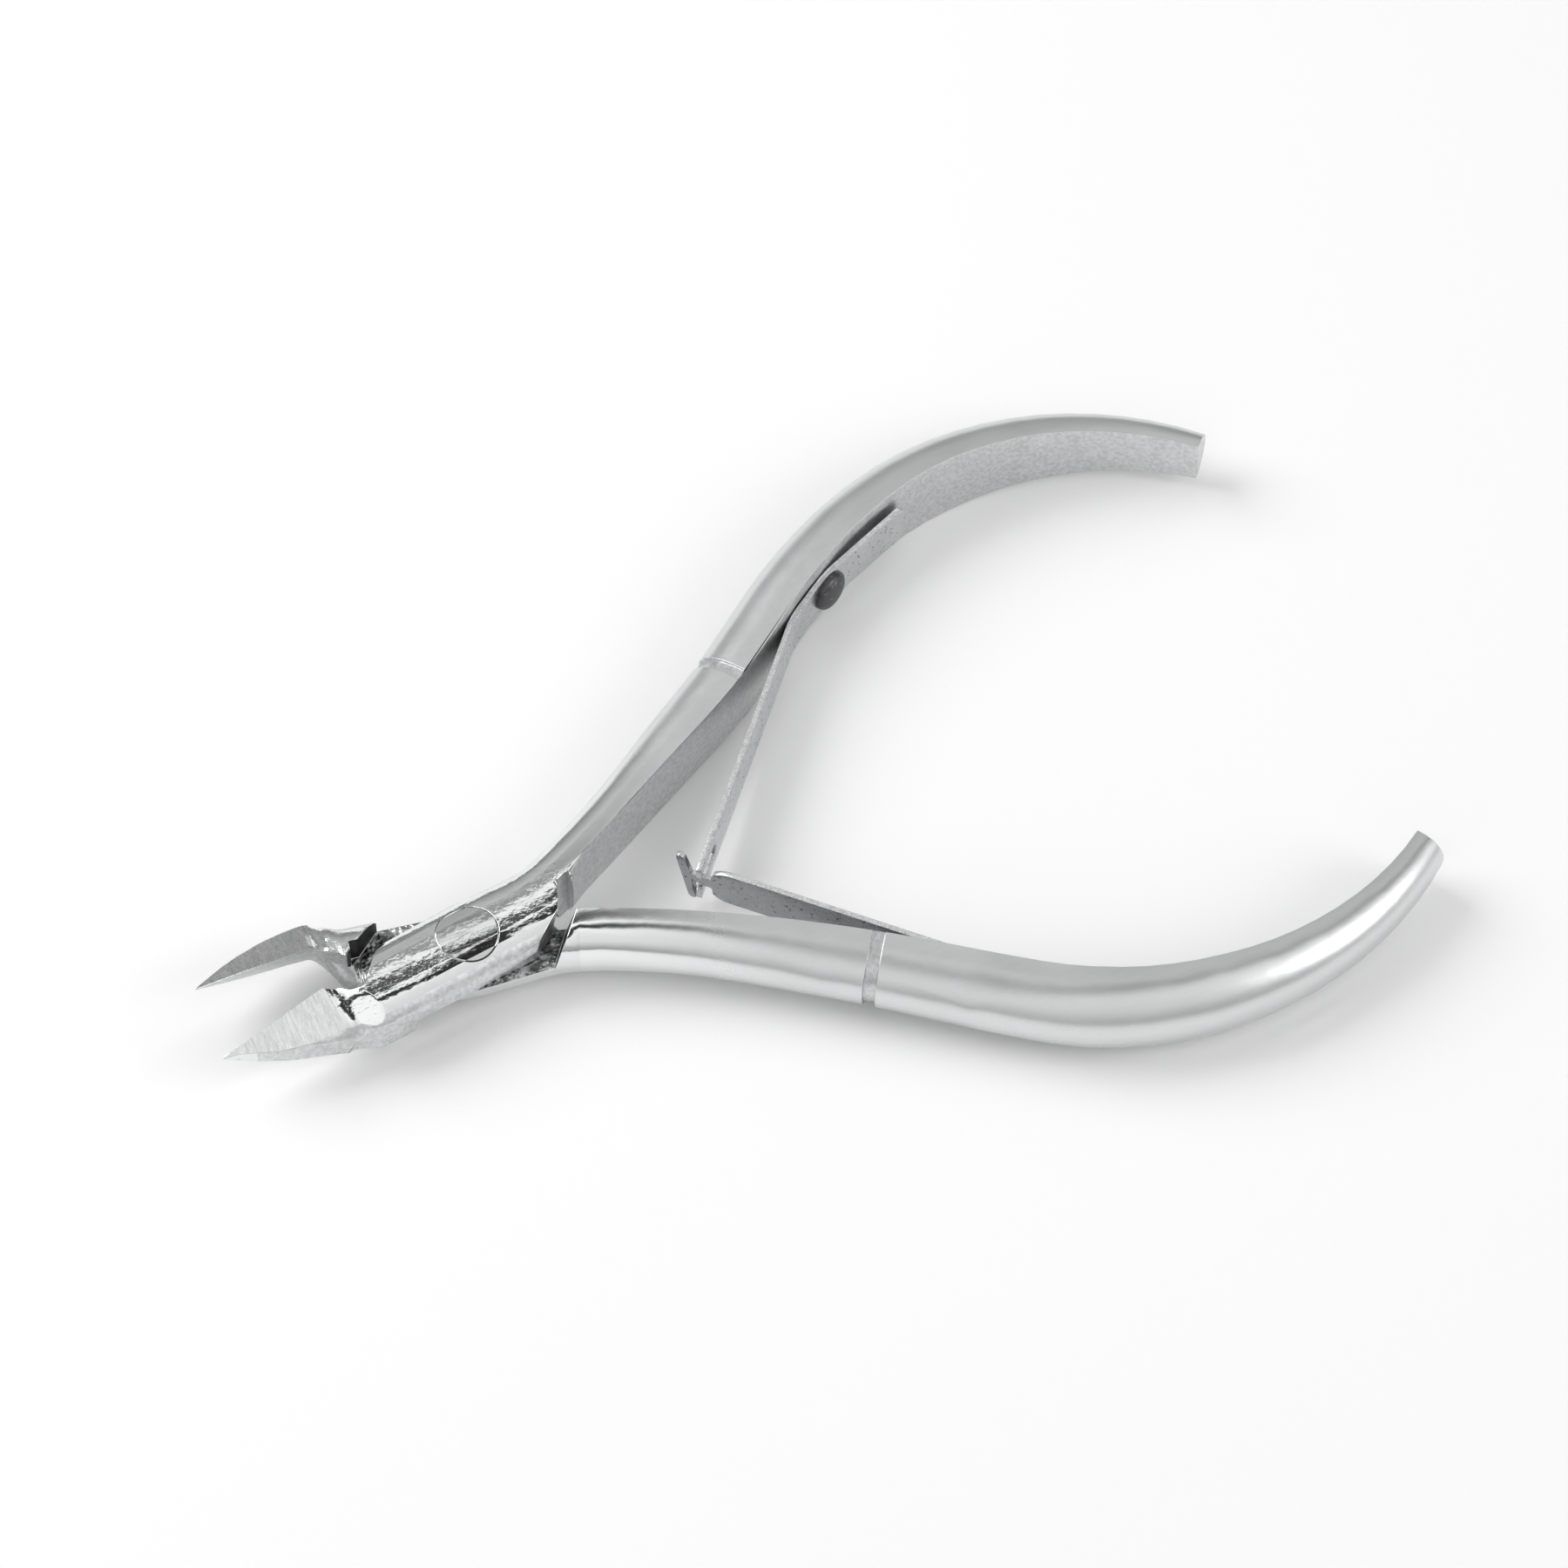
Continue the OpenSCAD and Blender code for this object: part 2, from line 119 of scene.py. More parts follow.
# Columns of a leaf's end, by distance past the crossing, some with half their width
LEAD_COLUMNS = (-15, -10, -6, -4)
FORK_COLUMNS = (-3.4, -2.2, -1.3, -0.4, 0.6)
NECK_COLUMNS = ((-1.12, 0.72), (-0.95, 0.6), (-0.2, 0.6), (0.82, 0.6))
HEAD_COLUMNS = ((0.90, 2.55), (0.98, 2.80), (1.10, 2.95), (1.3, 3.0), (1.5, 2.95),
                (1.62, 2.80), (1.7, 2.55))
SHOULDER_TURNS = (0, 12, 24, 34, 42, 46)     # degrees round the T-ended leaf's shoulder
SHOULDER_END = -0.6              # where that shoulder would run to a point
TAB_TURNS = (0, 15, 30, 45, 60, 75, 90)      # degrees round a corner of the riveted end
TAB_OVERHANG = 0.25
FORK_SLOT = 0.9                  # half the height of the fork's slot
FORK_START = -3.3                # where the slot begins
FORK_ROUND = {3: -0.05, 4: -0.25, 5: -0.05}  # shift of the slot's bottom, by row
SLOT_LEVEL = FORK_SLOT / 2.15
LEVELS = (-1, -0.72, -SLOT_LEVEL, -0.22, 0, 0.22, SLOT_LEVEL, 0.72, 1)   # heights of the rows
HEAD_LEAN = sin(radians(12))     # lean of the T head along its leaf

# Spring rivet: shank, and the head's profile up to its dome, as (height, radius)
SHANK_RADIUS = 0.9
SHANK_LENGTH = 2.7
SHANK_TOP = 0.5
HEAD_RADIUS = 1.95
DOME_FOOT = 0.85
HEAD_SEAT = 0.58
HEAD_PROFILE = ((HEAD_SEAT, 0.9), (HEAD_SEAT, 1.80), (0.66, 1.93), (DOME_FOOT, HEAD_RADIUS))
DOME_STEPS = 8
DOME_STEP = 12                   # degrees

# Studio: grey levels of the sky by height, and of the dark strips overhead that follow
# each other across it
ACROSS = (-0.153, 0.988, 0.0)
SKY = ((0.0, 0.36), (0.12, 0.44), (0.35, 0.66), (0.60, 0.84), (1.0, 0.84))
FLAGS = ((0.0, 0.85), (0.30, 1.05), (0.42, 1.30), (0.445, 0.03), (0.535, 0.02),
         (0.565, 1.35), (0.615, 1.35), (0.635, 0.06), (0.685, 0.06), (0.71, 1.35),
         (0.765, 1.25), (0.79, 0.30), (0.86, 0.70), (1.0, 0.62))
FLOOR_GAP = 0.00005              # in metres, below the lowest point
LIGHTS = (("key", (-0.30, 0.34, 0.42), 0.50, 2.2),     # name, place, size, power
          ("side", (0.42, -0.30, 0.30), 0.30, 0.6))
CAMERA_RIGHT = Vector((0.9212, -0.3891, 0))
CAMERA_BACK = Vector((-0.2176, -0.5151, 0.829))
CAMERA_TARGET = Vector((32.08, 5.43, 3.05))
CAMERA_DISTANCE = 615.4


# ---------------------------------------------------------------- sizes and colours

class NipperSizes(bpy.types.PropertyGroup):
    edge_break: FloatProperty(
        name="Edge break", description="Width of the broken edges of the milled steel",
        default=0.06 * MM, min=0.0, subtype="DISTANCE", unit="LENGTH")
    leaf_thickness: FloatProperty(
        name="Leaf thickness", description="Thickness of the spring strip",
        default=0.5 * MM, subtype="DISTANCE", unit="LENGTH")
    leaf_width: FloatProperty(
        name="Leaf width", description="Width of the spring strip",
        default=4.3 * MM, subtype="DISTANCE", unit="LENGTH")
    dome_height: FloatProperty(
        name="Rivet dome", description="Height of a spring rivet's domed head",
        default=1.1 * MM, subtype="DISTANCE", unit="LENGTH")
    floor_size: FloatProperty(
        name="Floor", description="Width of the studio floor",
        default=3.0, subtype="DISTANCE", unit="LENGTH")


class NipperColours(bpy.types.PropertyGroup):
    polished: FloatVectorProperty(
        name="Polished steel", description="Colour of the polished joint and bars",
        default=(0.86, 0.865, 0.87), subtype="COLOR")
    satin: FloatVectorProperty(
        name="Satin steel", description="Colour of the satin polished handles",
        default=(0.74, 0.745, 0.75), subtype="COLOR")
    ground: FloatVectorProperty(
        name="Ground steel", description="Colour of the satin ground walls",
        default=(0.62, 0.625, 0.63), subtype="COLOR")
    spring: FloatVectorProperty(
        name="Spring steel", description="Colour of the leaf springs",
        default=(0.62, 0.63, 0.64), subtype="COLOR")
    rivet: FloatVectorProperty(
        name="Dark rivet", description="Colour of the spring rivets",
        default=(0.11, 0.11, 0.115), subtype="COLOR")
    floor: FloatVectorProperty(
        name="Floor", description="Colour of the studio floor",
        default=(0.97, 0.97, 0.97), subtype="COLOR")


# ---------------------------------------------------------------- finishes

def set_stops(ramp, stops):
    """Gives a colour ramp grey stops, each a position and a level."""
    elements = ramp.elements
    while len(elements) < len(stops):
        elements.new(0.5)
    for element, (at, level) in zip(elements, stops):
        element.position = at
        element.color = (level, level, level, 1)


class Signal:
    """A shader socket that takes part in Python sums."""

    def __init__(self, finish, socket):
        self.finish = finish
        self.socket = socket

    def _sum(self, operation, a, b):
        return self.finish.node("ShaderNodeMath", {"operation": operation}, {0: a, 1: b})

    def __add__(self, other):
        return self._sum("ADD", self, other)

    def __radd__(self, other):
        return self._sum("ADD", other, self)

    def __sub__(self, other):
        return self._sum("SUBTRACT", self, other)

    def __rsub__(self, other):
        return self._sum("SUBTRACT", other, self)

    def __mul__(self, other):
        return self._sum("MULTIPLY", self, other)

    def __rmul__(self, other):
        return self._sum("MULTIPLY", other, self)


class Finish:
    """A material for one finish, with its principled shader ready to be fed."""

    def __init__(self, name, metallic=1.0):
        self.material = bpy.data.materials.new(name)
        self.material.use_nodes = True
        self.tree = self.material.node_tree
        self.shader = self.tree.nodes["Principled BSDF"]
        self.shader.inputs["Metallic"].default_value = metallic
        self.place = self.node("ShaderNodeTexCoord", out="Object")

    def node(self, kind, settings=None, values=None, out=0):
        """Adds a node: its settings first, then the values or links of its sockets."""
        made = self.tree.nodes.new(kind)
        for key, value in (settings or {}).items():
            if key == "stops":
                set_stops(made.color_ramp, value)
            else:
                setattr(made, key, value)
        self.feed(made, values or {})
        return Signal(self, made.outputs[out])

    def feed(self, made, values):
        for key, value in values.items():
            if isinstance(value, Signal):
                self.tree.links.new(value.socket, made.inputs[key])
            elif made.inputs[key].type == "RGBA":
                made.inputs[key].default_value = (*value, 1)
            else:
                made.inputs[key].default_value = value

    def stretched(self, scale, turn=0.0):
        """Object coordinates scaled along each axis, and then turned about Z."""
        return self.node("ShaderNodeMapping", None,
                         {"Vector": self.place, "Scale": scale, "Rotation": (0, 0, turn)})

    def noise(self, scale, detail=2.0, rough=0.5, where=None):
        return self.node("ShaderNodeTexNoise", None, {
            "Vector": where or self.place, "Scale": scale, "Detail": detail,
            "Roughness": rough})

    def levels(self, value, *stops):
        return self.node("ShaderNodeValToRGB", {"stops": stops}, {0: value})

    def shade(self, share, low, high):
        """A colour that goes from low to high as share goes from 0 to 1."""
        return self.node("ShaderNodeMix", {"data_type": "RGBA"},
                         {0: share, 6: low, 7: high}, out=2)

    def bump(self, height, depth, strength=1.0, under=None):
        values = {"Height": height, "Distance": depth, "Strength": strength}
        if under:
            values["Normal"] = under
        return self.node("ShaderNodeBump", None, values)

    def set(self, **values):
        """Feeds the shader's sockets by name and hands over the material."""
        self.feed(self.shader, {key.replace("_", " "): value
                                for key, value in values.items()})
        return self.material


def toned(colour, share):
    return tuple(channel * share for channel in colour)


def polished_steel(name, colour, waves=1.0):
    """Hand polished steel: bright, with a fine orange peel and a few lengthwise hairlines."""
    f = Finish(name)
    peel = f.noise(1500, 2, 0.55)
    swell = f.noise(420, 1, 0.4)
    hair = f.levels(f.noise(1, 3, 0.6, f.stretched((240, 5200, 5200))), (0.58, 0), (0.72, 1))
    smear = f.noise(260, 3, 0.55)
    soft = f.bump(peel * 0.75 + swell * 0.6, 0.000040 * waves, 1.0)
    return f.set(
        Base_Color=f.shade(smear, toned(colour, 0.90), colour),
        Roughness=0.07 + smear * 0.07 + hair * 0.08,
        Normal=f.bump(hair, 0.000004, 0.5, soft))


def satin_steel(name, colour, polish, turn):
    """Satin polished steel of the handles: soft gloss under fine brushing along X, running
    out of the joint's bright polish. The turn keeps the two handles' patterns apart."""
    f = Finish(name)
    reach = f.node("ShaderNodeSeparateXYZ", None, {0: f.place}, out="X")
    away = f.levels(reach * 40.0, (0.36, 0), (0.95, 1))
    brush = f.noise(1, 3, 0.65, f.stretched((260, 4200, 4200), turn))
    grain = f.noise(2300, 3, 0.6)
    swell = f.noise(300, 2, 0.5)
    smear = f.noise(150, 3, 0.55)
    soft = f.bump(swell, 0.00003, 1.0)
    satin = f.shade(brush * 0.5 + smear * 0.5, toned(colour, 0.88), toned(colour, 1.08))
    return f.set(
        Base_Color=f.shade(away, polish, satin),
        Roughness=0.11 + away * (0.13 + smear * 0.08 + grain * 0.10),
        Normal=f.bump(grain * 0.6 + brush * 0.8, 0.000006, 0.8, soft))


def ground_steel(name, colour, rough=0.34, mottle=1.0, across=(1, 1, 1)):
    """Satin ground steel: mottled grey with grinding marks."""
    f = Finish(name)
    cloud = f.noise(700, 4, 0.62)
    spots = f.levels(f.noise(2600, 2, 0.5), (0.38, 0), (0.62, 1))
    marks = f.noise(1, 2, 0.5, f.stretched(across))
    tone = cloud * 0.6 + spots * 0.4
    return f.set(
        Base_Color=f.shade(tone, toned(colour, 1.0 - 0.45 * mottle), toned(colour, 1.25)),
        Roughness=rough + cloud * 0.16,
        Normal=f.bump(marks * 0.5 + spots * 0.5, 0.000010, 0.7))


def facet_steel(name, colour, scratch, depth):
    """Bright steel scratched across by the wheel, as on the jaws' top facets."""
    f = Finish(name)
    lines = f.noise(1, 4, 0.7, f.stretched(scratch))
    fine = f.noise(1, 3, 0.7, f.stretched(tuple(3.1 * s for s in scratch)))
    cloud = f.noise(380, 2, 0.5)
    return f.set(
        Base_Color=f.shade(f.levels(lines * 0.6 + fine * 0.4, (0.35, 0), (0.65, 1)),
                           toned(colour, 0.66), colour),
        Roughness=0.16 + fine * 0.14 + cloud * 0.06,
        Normal=f.bump(lines + fine * 0.5, depth, 0.8))


def rough_milled_steel(name, colour):
    """The floor of a recess: dark and crystalline."""
    f = Finish(name)
    grains = f.node("ShaderNodeTexVoronoi", {"feature": "F1"},
                    {"Vector": f.place, "Scale": 2400.0}, out="Distance")
    cloud = f.noise(900, 4, 0.6)
    return f.set(
        Base_Color=f.shade(f.levels(cloud, (0.40, 0), (0.62, 1)), toned(colour, 0.22),
                           toned(colour, 1.2)),
        Roughness=0.26 + cloud * 0.2,
        Normal=f.bump(grains + cloud, 0.00022, 1.0))


def spring_steel(name, colour):
    """Rolled spring strip: even satin with lengthwise lines and small dark specks."""
    f = Finish(name)
    roll = f.noise(1, 3, 0.6, f.stretched((900, 900, 7200)))
    specks = f.levels(f.noise(2400, 2, 0.6), (0.30, 1), (0.38, 0))
    cloud = f.noise(330, 3, 0.5)
    return f.set(
        Base_Color=f.shade(specks, f.shade(cloud, toned(colour, 0.85), toned(colour, 1.12)),
                           toned(colour, 0.28)),
        Roughness=0.22 + roll * 0.12 + specks * 0.25,
        Normal=f.bump(roll * 0.6 - specks * 0.5, 0.000008, 0.8))


def dark_rivet_steel(name, colour):
    """Blackened rivet steel, dull with small bright rubs."""
    f = Finish(name)
    cloud = f.noise(900, 4, 0.6)
    rubs = f.levels(f.noise(2100, 2, 0.5), (0.60, 0), (0.70, 1))
    return f.set(
        Base_Color=f.shade(rubs * 0.5 + cloud * 0.3, toned(colour, 0.7), toned(colour, 2.4)),
        Roughness=0.30 + cloud * 0.2,
        Normal=f.bump(cloud, 0.00004, 0.8))


def finishes_for(context):
    """The finishes of the object, each made once."""
    colours = context.scene.nipper_colours
    polished, satin, ground = colours.polished, colours.satin, colours.ground
    recipes = {
        "polished": lambda n: polished_steel(n, polished),
        "front_handle": lambda n: satin_steel(n, satin, polished, radians(-38)),
        "rear_handle": lambda n: satin_steel(n, satin, polished, radians(22)),
        "flat": lambda n: ground_steel(n, toned(ground, 1.0), 0.30, 0.45, (2400, 2400, 500)),
        "head": lambda n: polished_steel(n, toned(polished, 0.86), 0.6),
        "ground": lambda n: ground_steel(n, toned(ground, 1.1), 0.34, 0.5, (600, 600, 5200)),
        "inner": lambda n: ground_steel(n, ground, 0.30, 0.8, (5200, 700, 700)),
        # The shoulder finish is the ground steel at 0.14 of its tone: painted shade for the
        # dark gap at the lap's shoulders
        "shoulder": lambda n: ground_steel(n, toned(ground, 0.14), 0.4, 1.0),
        "recess": lambda n: rough_milled_steel(n, toned(ground, 0.75)),
        # The two jaws' facets are one finish in two tones: the front copy brighter, painted
        # light, and the rear copy darker, painted shade
        "front_facet": lambda n: facet_steel(n, toned(polished, 1.08), (4200, 420, 900),
                                             0.000030),
        "rear_facet": lambda n: facet_steel(n, toned(polished, 0.80), (2600, 380, 700),
                                            0.000006),
        "scoop": lambda n: polished_steel(n, toned(polished, 1.1), 0.45),
        # The rear leaf is the same spring steel made darker: painted shade
        "front_leaf": lambda n: spring_steel(n, colours.spring),
        "rear_leaf": lambda n: spring_steel(n, toned(colours.spring, 0.62)),
        "leaf_edge": lambda n: facet_steel(n, toned(polished, 1.1), (2200, 2200, 300),
                                           0.00003),
        "rivet": lambda n: dark_rivet_steel(n, colours.rivet),
    }
    return {key: bpy.data.materials.get("nipper_" + key) or recipe("nipper_" + key)
            for key, recipe in recipes.items()}


# ---------------------------------------------------------------- shop tools

def mode(name):
    bpy.ops.object.mode_set(mode=name)


def deselect():
    if bpy.context.object and bpy.context.object.mode != "OBJECT":
        mode("OBJECT")
    bpy.ops.object.select_all(action="DESELECT")


def take(piece):
    """Makes a piece the only one selected and the active one."""
    deselect()
    piece.select_set(True)
    bpy.context.view_layer.objects.active = piece


def settle(piece, place=None):
    """Puts a piece in its place and leaves that place in its mesh."""
    take(piece)
    if place is not None:
        piece.matrix_world = place @ piece.matrix_world
        bpy.context.view_layer.update()
    bpy.ops.object.transform_apply(location=True, rotation=True, scale=True)


def select_faces(piece, wanted):
    """Selects just the faces that wanted(face) picks, and stays in edit mode."""
    take(piece)
    mode("EDIT")
    bpy.ops.mesh.select_mode(type="FACE")
    bpy.ops.mesh.select_all(action="DESELECT")
    mode("OBJECT")
    for face in piece.data.polygons:
        face.select = wanted(face)
    mode("EDIT")


def blank_from(node, name):
    """A loose copy of a CAD node, merged into one closed mesh."""
    piece = bpy.data.objects.new(name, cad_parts[node].data.copy())
    bpy.context.scene.collection.objects.link(piece)
    piece.data.materials.clear()
    take(piece)
    mode("EDIT")
    bpy.ops.mesh.select_all(action="SELECT")
    bpy.ops.mesh.remove_doubles(threshold=0.002 * MM)
    bpy.ops.mesh.dissolve_limited(angle_limit=radians(0.6))
    mode("OBJECT")
    return piece


def work(piece, name, kind, **settings):
    """Adds a modifier to a piece and applies it."""
    take(piece)
    modifier = piece.modifiers.new(name, kind)
    for key, value in settings.items():
        setattr(modifier, key, value)
    bpy.ops.object.modifier_apply(modifier=modifier.name)


def cut(piece, cutter):
    """Takes the cutter's room away from a piece."""
    work(piece, "mill", "BOOLEAN", operation="DIFFERENCE", solver="EXACT", object=cutter)
    bpy.data.objects.remove(cutter)


def break_edges(piece, width, angle=32):
    work(piece, "edges", "BEVEL", width=width, segments=2, limit_method="ANGLE",
         angle_limit=radians(angle), use_clamp_overlap=False)


def smooth(piece, angle=30):
    take(piece)
    bpy.ops.object.shade_smooth_by_angle(angle=radians(angle))
    work(piece, "even", "WEIGHTED_NORMAL", keep_sharp=True)


def face_out(piece):
    take(piece)
    mode("EDIT")
    bpy.ops.mesh.select_all(action="SELECT")
    bpy.ops.mesh.normals_make_consistent(inside=False)
    mode("OBJECT")


def dress(piece, finishes, keys, choose):
    """Gives each face of a piece the finish that choose(middle in mm, normal) names."""
    piece.data.materials.clear()
    for key in keys:
        piece.data.materials.append(finishes[key])
    for face in piece.data.polygons:
        face.material_index = keys.index(choose(face.center / MM, face.normal))


def board(middle, size, turn=(0, 0, 0)):
    """A straight-sided cutter, given in mm, before it is placed on its half."""
    deselect()
    bpy.ops.mesh.primitive_cube_add(size=1, location=Vector(middle) * MM, rotation=turn,
                                    scale=Vector(size) * MM)
    cutter = bpy.context.object
    settle(cutter)
    return cutter


def plan_cutter(points, low, high):
    """A cutter with the plan given in mm, from one height to another."""
    deselect()
    bpy.ops.mesh.primitive_circle_add(vertices=len(points), radius=MM, fill_type="NGON",
                                      location=(0, 0, 0))
    cutter = bpy.context.object
    for corner, (x, y) in zip(cutter.data.vertices, points):
        corner.co = Vector((x, y, low)) * MM
    mode("EDIT")
    bpy.ops.mesh.select_all(action="SELECT")
    bpy.ops.mesh.extrude_region_move(
        TRANSFORM_OT_translate={"value": (0, 0, (high - low) * MM)})
    mode("OBJECT")
    face_out(cutter)
    return cutter


def half_place(side):
    """Where a half's own closed frame stands at rest."""
    lift = Matrix.Translation((0, 0, LAP_Z * MM))
    if side == FRONT:
        return lift @ Matrix.Rotation(OPEN, 4, "Z")
    return lift @ Matrix.Rotation(-OPEN, 4, "Z") @ Matrix.Rotation(pi, 4, "X")


def at_rest(point, side):
    """Where a point or direction of a half's closed plan stands at rest."""
    x = point[0] * cos(OPEN) - point[1] * sin(OPEN)
    y = point[0] * sin(OPEN) + point[1] * cos(OPEN)
    return Vector((x, y * side))


def heading(angle):
    return Vector((cos(angle), sin(angle)))


# ---------------------------------------------------------------- the halves

class NIPPER_OT_halves(bpy.types.Operator):
    """Grinds and polishes the two forged halves"""
    bl_idname = "nipper.halves"
    bl_label = "Halves"

    def execute(self, context):
        sizes = context.scene.nipper_sizes
        finishes = finishes_for(context)
        for side, half in HALF.items():
            piece = blank_from(half + "_half", half + "_half_steel")
            place = half_place(side)
            wall = WALL[side]
            waste = [*wall, (wall[-1][0], WASTE_Y), (wall[0][0], WASTE_Y)]
            self.grind(piece, plan_cutter(waste, -WASTE_Z, WASTE_Z), place)
            if side == FRONT:
                self.grind(piece, self.scoop(), place)
            break_edges(piece, sizes.edge_break)
            back = place.inverted()
            turn = back.to_3x3()
            dress(piece, finishes,
                  ("polished", "ground", "inner", "shoulder", "recess", "scoop", "flat",
                   half + "_facet", half + "_handle"),
                  lambda middle, normal: self.finish_at(
                      back @ (middle * MM) / MM, turn @ normal, side))
            smooth(piece)
            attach(piece, half)
            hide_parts(half + "_half")
        return {"FINISHED"}

    def grind(self, piece, cutter, place):
        settle(cutter, place)
        cut(piece, cutter)

    def scoop(self):
        """Cutter whose underside is the polished slope at the bar's jaw end."""
        turn = UP.rotation_difference(SCOOP_FACING)
        middle = SCOOP_POINT + SCOOP_FACING * (SCOOP_SIZE[2] / 2)
        cutter = board(middle, SCOOP_SIZE, turn.to_euler())
        cut(cutter, board(*SCOOP_STOP))
        return cutter

    def finish_at(self, middle, normal, side):
        """The finish of a face, from its middle and normal in the half's own frame."""
        x, y, z = middle
        flat = abs(normal.z)
        # The lap face
        if -11.6 < x < JOINT_END and flat > 0.97 and abs(z) < 0.12:
            return "recess"
        # The slanted shoulders at both ends of the lap, painted near black as shade
        if -12.0 < x < 9.6 and z < -0.02 and flat < 0.35 and abs(normal.y) < 0.93:
            if (x < -6 and normal.x > 0.2) or (x > 4 and normal.x < -0.2):
                return "shoulder"
        # The relief under the jaw end of the lap, also painted near black as shade
        if -11.2 < x < -7 and y > -3.4 and z < 0.05 and flat < 0.7 and normal.x > -0.2:
            return "shoulder"
        # The jaw's top facet, toned per half with painted light and shade
        if x < -13.2 and normal.z * side > 0.78 and z * side > 0.6:
            return HALF[side] + "_facet"
        if side == FRONT and x < -8 and normal.z > 0.7 and normal.x < -0.25 and z > 1.2:
            return "scoop"
        # The hollow side of the jaw
        if x < -9.4 and normal.y > 0.45:
            return "inner"
        # The outer wall, the jaw's root and the bar's slanted end
        if x < 5 and y < -0.2 and normal.y < -0.55 and flat < 0.75:
            return "ground"
        if flat < 0.3 and (x < -6 and normal.y > 0.3
                           or 4 < x < 9 and y < 0 and normal.x > 0.3):
            return "ground"
        if x < JOINT_END:
            return "polished"
        # The handle's inner wall and its filed notch
        notch_x, notch_y, turn = NOTCH[side]
        along = (x - notch_x) * cos(turn) + (y - notch_y) * sin(turn)
        if flat < 0.35 and normal.y < -0.2 or abs(along) < NOTCH_REACH:
            return "flat"
        return HALF[side] + "_handle"


# ---------------------------------------------------------------- the pivot rivet

class NIPPER_OT_pivot(bpy.types.Operator):
    """Finishes the pivot rivet's flush head, with its fine ring painted near black as shade
    """
    bl_idname = "nipper.pivot"
    bl_label = "Pivot rivet"

    def execute(self, context):
        piece = blank_from("pivot_rivet", "pivot_rivet_steel")
        break_edges(piece, PIVOT_EDGE * MM)
        dress(piece, finishes_for(context), ("head", "shoulder"), self.finish_at)
        smooth(piece)
        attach(piece, "front")
        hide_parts("pivot_rivet")
        return {"FINISHED"}

    def finish_at(self, middle, normal):
        """Polished over both ends inside their rings, and painted near black elsewhere:
        painted shade in the seam round each head.
        """
        outside = middle.z > LAP_Z + 1.6 or middle.z < 1
        return "head" if middle.xy.length < PIVOT_HEAD and outside else "shoulder"


# ---------------------------------------------------------------- the springs

def spring_line(side):
    """The middle line of a leaf in plan at rest: its riveted end, pin, bend and crossing."""
    pin, along = PIN[side]
    seat = pin + LEAF_SEAT * heading(along - pi / 2)
    end = seat + TAB_LENGTH * heading(TAB_HEADING)
    return [at_rest(end, side), at_rest(seat, side), LEAF_BEND[side], CROSS]


def rounded_line(line):
    """Points along a bent line, with its bends rounded, up to its last bend."""
    points = [line[0]]
    for before, bend, after in zip(line, line[1:], line[2:]):
        a = bend + (before - bend).normalized() * BEND_RADIUS
        b = bend + (after - bend).normalized() * BEND_RADIUS
        for k in range(BEND_STEPS + 1):
            u = k / BEND_STEPS
            points.append(a * (1 - u) ** 2 + bend * 2 * u * (1 - u) + b * u ** 2)
    return points


